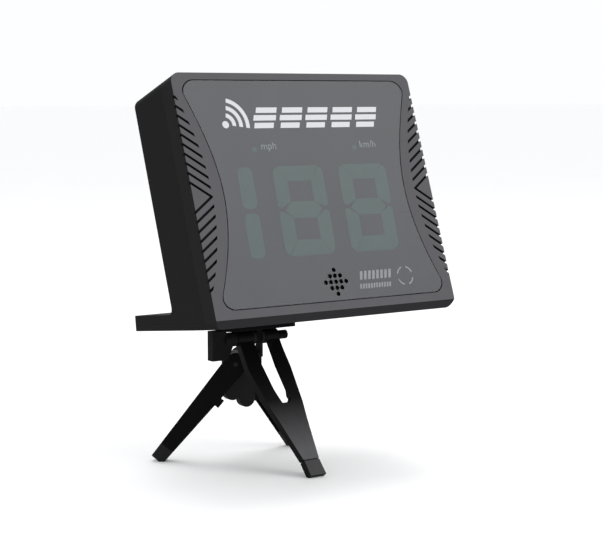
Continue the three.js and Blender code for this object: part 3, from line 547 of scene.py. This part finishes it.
def segment_shapes(width=17.7, height=27.1, inner=8.3):
    """The seven bars of a digit about its middle, with mitred corners and a pointed crossbar."""
    top, foot, upper, lower = 17.9, -17.7, 5.4, -4.6
    cross = (upper + lower) / 2
    point = inner + 4.6
    corner = 3.2

    def side(outer_end, inner_end, shoulder, notch):
        step = math.copysign(1, outer_end)
        return [(inner, inner_end), (width - 2.8, outer_end - step * 0.6),
                (width - 0.9, outer_end - step * 2.2), (width, outer_end - step * 4.6), (width, notch),
                (width - 2.4, notch - math.copysign(1.3, notch - cross)), (inner, shoulder)]

    bars = [
        [(-width + corner, height), (width - corner, height), (inner, top), (-inner, top)],
        [(-inner, foot), (inner, foot), (width - corner, -height), (-width + corner, -height)],
        [(-inner, upper), (inner, upper), (point, cross), (inner, lower), (-inner, lower), (-point, cross)],
    ]
    for shape in (side(height, top, upper, 3.0), side(-height, foot, lower, -1.2)):
        bars += [shape, [(-x, y) for x, y in shape]]
    return bars


def single_shapes(half=5.0):
    """The two upright bars of the leading digit."""
    return [[(-half, 2.2), (half, 2.2), (half, 27.1), (-half, 27.1)],
            [(-half, -27.1), (half, -27.1), (half, -0.5), (-half, -0.5)]]


def make_digits():
    middle = DIGIT_LOW + DIGIT_HEIGHT / 2
    for name, x in DIGITS.items():
        single = name == "digit_hundreds"
        mesh = bmesh.new()
        for shape in single_shapes() if single else segment_shapes():
            face = mesh.faces.new([mesh.verts.new((px, py, MASK_FRONT - 0.2)) for px, py in slanted(shape)])
            bmesh.ops.translate(mesh, verts=face.verts, vec=(x, middle, 0))
        rim = bmesh.ops.inset_region(mesh, faces=mesh.faces[:], thickness=0.2, use_even_offset=True)
        bmesh.ops.delete(mesh, geom=rim["faces"], context="FACES")
        bmesh.ops.bevel(mesh, geom=mesh.verts[:], offset=3.6 if single else 0.7, affect="VERTICES",
                        segments=5, profile=0.5, material=-1, clamp_overlap=True)
        thicken(mesh, mesh.faces[:], BAR_THICKNESS)
        finished(mesh, f"{name}_bars", finish["digit"])


def arc_band(middle, radius, thickness, start, end, steps=16):
    """A curved band as one rim."""
    angles = [math.radians(start + (end - start) * step / steps) for step in range(steps + 1)]
    outer, inner = ([(middle[0] + reach * math.cos(a), middle[1] + reach * math.sin(a)) for a in angles]
                    for reach in (radius, radius - thickness))
    return outer + inner[::-1]


def make_prints():
    """Printing on the window: a signal sign, striped blocks, and a fainter ornament low on the right."""
    mark = bmesh.new()
    for index in range(5):
        for row, (width, shift) in enumerate(((13.4, 0), (15.6, -1.1), (14.4, 0))):
            stripe = [(0, 0), (width, 0), (width, 3.3), (0, 3.3)]
            place = (-35.6 + index * 18.3 + shift + row * 1.5, 111 + row * 4.7)
            add_sheet(mark, [moved(slanted(stripe, 0.32), *place)], 0, PRINT_THICKNESS)
    spot = (-54.5, 113.4)
    add_sheet(mark, [circle(*spot, 2.2)], 0, PRINT_THICKNESS)
    for radius in (7.0, 11.6, 16.2):
        add_sheet(mark, [arc_band(spot, radius, 2.5, -8, 78)], 0, PRINT_THICKNESS)
    finished(mark, "window_mark", white_ink)
    ornament = bmesh.new()
    for row, (low, height, count, pitch) in enumerate(((16.6, 5.2, 8, 3.0), (11.2, 2.9, 12, 1.95))):
        for index in range(count):
            dash = [(0, 0), (pitch * 0.62, 0), (pitch * 0.62, height), (0, height)]
            dash = moved(slanted(dash, 0.25), 17.2 + index * pitch - row, low)
            add_sheet(ornament, [dash], 0, ORNAMENT_THICKNESS)
    for start in (20, 110, 200, 290):
        add_sheet(ornament, [arc_band((51, 17), 6.0, 0.9, start, start + 55, 8)], 0, ORNAMENT_THICKNESS)
    finished(ornament, "window_ornament", pale_ink)


def lettering(words, x, y, name):
    """Generic unit words, as thin raised ink."""
    curve = bpy.data.curves.new(name, "FONT")
    curve.body = words
    curve.size = LETTER_HEIGHT * 1.35
    curve.extrude = PRINT_THICKNESS / 2
    curve.resolution_u = 3
    words_object = bpy.data.objects.new(name + "_curve", curve)
    data = bpy.data.meshes.new_from_object(words_object)
    bpy.data.objects.remove(words_object)
    mesh = bmesh.new()
    mesh.from_mesh(data)
    bpy.data.meshes.remove(data)
    bmesh.ops.translate(mesh, verts=mesh.verts, vec=(x, y, 0))
    finished(mesh, name, faint_ink)


def make_units():
    """The two unit words, each with its unlit lamp."""
    lettering("mph", -33.6, 98.2, "miles_legend")
    lettering("km/h", 37.2, 98.0, "kilometres_legend")
    for name, x in (("left", -37), ("right", 34.5)):
        lens = sheet([circle(x, 98.7, 1.6)], MASK_FRONT - 0.2, MASK_FRONT - 0.02)
        finished(lens, f"{name}_lamp_lens", finish["digit"])


# ------------------------------------------------------------------ back of the case

def make_back():
    refined("battery_door", "case_shell", "battery_door", 0.35)
    for name in ("power", "units", "mode"):
        refined(f"{name}_button", "rubber", f"{name}_button", 0.5, 3)


def socket_screw(start, end, head_radius, head_height, shank_radius):
    """A screw with a domed round head and a hexagonal socket."""
    mesh = bmesh.new()
    length = (Vector(end) - Vector(start)).length
    head = [circle(0, 0, head_radius, 32), circle(0, 0, head_radius * 0.45, 6)]
    add_sheet(mesh, head, 0, head_height * 0.55)
    round_edges(mesh, 0.12)
    add_cylinder(mesh, head_radius, head_height * 0.55, head_height)
    add_cylinder(mesh, shank_radius, head_height, length, sides=20)
    bmesh.ops.transform(mesh, matrix=along(start, end), verts=mesh.verts)
    return mesh


def make_screws():
    places = [(x, height) for height in (32, 134) for x in (-76, 76)]
    for index, (x, y) in enumerate(places, 1):
        screw = socket_screw((x, y, -CASE_DEPTH + 3.4), (x, y, -6.2), 2.9, 2.4, 1.5)
        finished(screw, f"housing_screw_{index}_turned", finish["steel"],
                 nodes=(f"housing_screw_{index}",))
    for index, (x, y) in enumerate(((-77, 20), (77, 20), (-77, 87), (77, 87)), 1):
        screw = socket_screw((x, y, 0.2), (x, y, 7), 2.8, 1.2, 1.3)
        finished(screw, f"base_screw_{index}_turned", finish["steel"], place=CASE,
                 nodes=(f"base_screw_{index}",))


def make_batteries():
    """Four sleeved cells, every other one turned end for end."""
    half = 25.25
    can = 7.1
    profile = [(0, -half), (5.4, -half), (5.5, -half + 0.3), (6.6, -half + 0.3), (can, -half + 0.9),
               (can, half - 2.0), (6.6, half - 1.5), (4.2, half - 1.4), (2.7, half - 1.3),
               (2.7, half - 0.3), (2.4, half), (0, half)]
    for index in range(4):
        x = (index - 1.5) * BATTERY_PITCH
        up = 1 if index % 2 else -1
        place = (Matrix.Translation((x, BATTERY_MIDDLE, BATTERY_DEPTH))
                 @ Matrix.Rotation(-up * math.pi / 2, 4, "X"))
        mesh = turned(profile, 48)
        band = mesh.faces.layers.float.new("band")
        for face in mesh.faces:
            face[band] = float(face.calc_center_median().z > half - 13)
        bmesh.ops.transform(mesh, matrix=place, verts=mesh.verts)
        finished(mesh, f"battery_{index + 1}_cell", finish["cell"],
                 nodes=(f"battery_{index + 1}",))


# ------------------------------------------------------------------ tripod

def make_tripod():
    refined("hub", "tripod", "tripod_hub", 0.45, material=hub_black)
    # the front leg and its foot are marked front, for their painted sheen
    refined("front_leg", "tripod", "front_leg", 0.5, outward=FRONT_LEG_OUTWARD, material=blade_black)
    refined("front_foot", "foot_tip", "front_leg", 0.5, outward=FRONT_LEG_OUTWARD, material=tip_black)
    for side in ("left", "right"):
        refined(f"{side}_leg", "tripod", f"{side}_leg", 0.4)
        refined(f"{side}_foot", "foot_tip", f"{side}_leg", 0.5, material=finish["rubber"])
    refined("tilt_lever", "tripod", "tilt_lever", 0.7, material=lever_black)
    refined("tilt_head", "tripod", "display", 0.35)
    refined("plate_pad", "rubber", "display", 0.25)
    refined("tilt_nut", "tripod", "tripod_hub", 0.6, 3)


def dress_frame():
    """Every CAD piece that stays in view gets its finish."""
    slots = {part["node"]: part["material_slot"] for part in frame["record"]["subparts"]}
    for name, node in frame["nodes"].items():
        node.data.materials.clear()
        oiled = name.endswith("_pin") or name == "tilt_bolt"
        node.data.materials.append(dark_steel if oiled else finish[slots[name]])


# ------------------------------------------------------------------ studio

def make_floor():
    shader = Shader("studio_floor")
    mottle = shader.noise(3, 3, 0.5)
    shader.set(Base_Color=shader.mix(mottle, (0.965, 0.965, 0.965, 1), (0.98, 0.98, 0.98, 1)),
               Roughness=mottle * 0.1 + 0.7, Normal=shader.bump(mottle, 0.0005))
    mesh = bmesh.new()
    bmesh.ops.create_grid(mesh, x_segments=1, y_segments=1, size=30)
    data = bpy.data.meshes.new("studio_floor")
    mesh.to_mesh(data)
    mesh.free()
    data.materials.append(shader.material)
    floor = bpy.data.objects.new("studio_floor", data)
    bpy.context.scene.collection.objects.link(floor)


def facing(spot, direction):
    """A place that looks along a direction."""
    return Matrix.Translation(spot) @ Vector(direction).to_track_quat("-Z", "Y").to_matrix().to_4x4()


def area_light(name, spot, aim, size, power):
    lamp = bpy.data.lights.new(name, "AREA")
    lamp.shape = "DISK"
    lamp.size = size
    lamp.energy = power
    placed = bpy.data.objects.new(name, lamp)
    placed.matrix_world = facing(spot, Vector(aim) - Vector(spot))
    bpy.context.scene.collection.objects.link(placed)


def make_lights():
    world = bpy.data.worlds.new("studio_world")
    world.use_nodes = True
    background = world.node_tree.nodes["Background"]
    background.inputs["Color"].default_value = (0.985, 0.99, 1.0, 1)
    background.inputs["Strength"].default_value = 1.0
    bpy.context.scene.world = world
    middle = (0, 0, 0.13)
    area_light("key_softbox", (0.98, -1.22, 1.20), middle, 1.1, 12.5)
    area_light("overhead_softbox", (0.2, 0.3, 1.6), middle, 1.0, 5)


def make_camera():
    azimuth = math.radians(34.43)
    drop = math.radians(6.295)
    distance = 0.95
    aim = joint_place("display_tilt") + Vector((0.0165, -0.0257, 0.0443))
    forward = Vector((math.sin(azimuth) * math.cos(drop), math.cos(azimuth) * math.cos(drop),
                      -math.sin(drop)))
    data = bpy.data.cameras.new("studio_camera")
    data.lens = 93.04
    data.sensor_width = 36
    camera = bpy.data.objects.new("studio_camera", data)
    camera.matrix_world = facing(aim - forward * distance, forward)
    bpy.context.scene.collection.objects.link(camera)
    bpy.context.scene.camera = camera


make_camera()
make_floor()
make_lights()
dress_frame()
make_case()
make_seals()
make_window()
make_digits()
make_prints()
make_units()
make_back()
make_screws()
make_batteries()
make_tripod()
bpy.context.scene.view_settings.view_transform = "Standard"
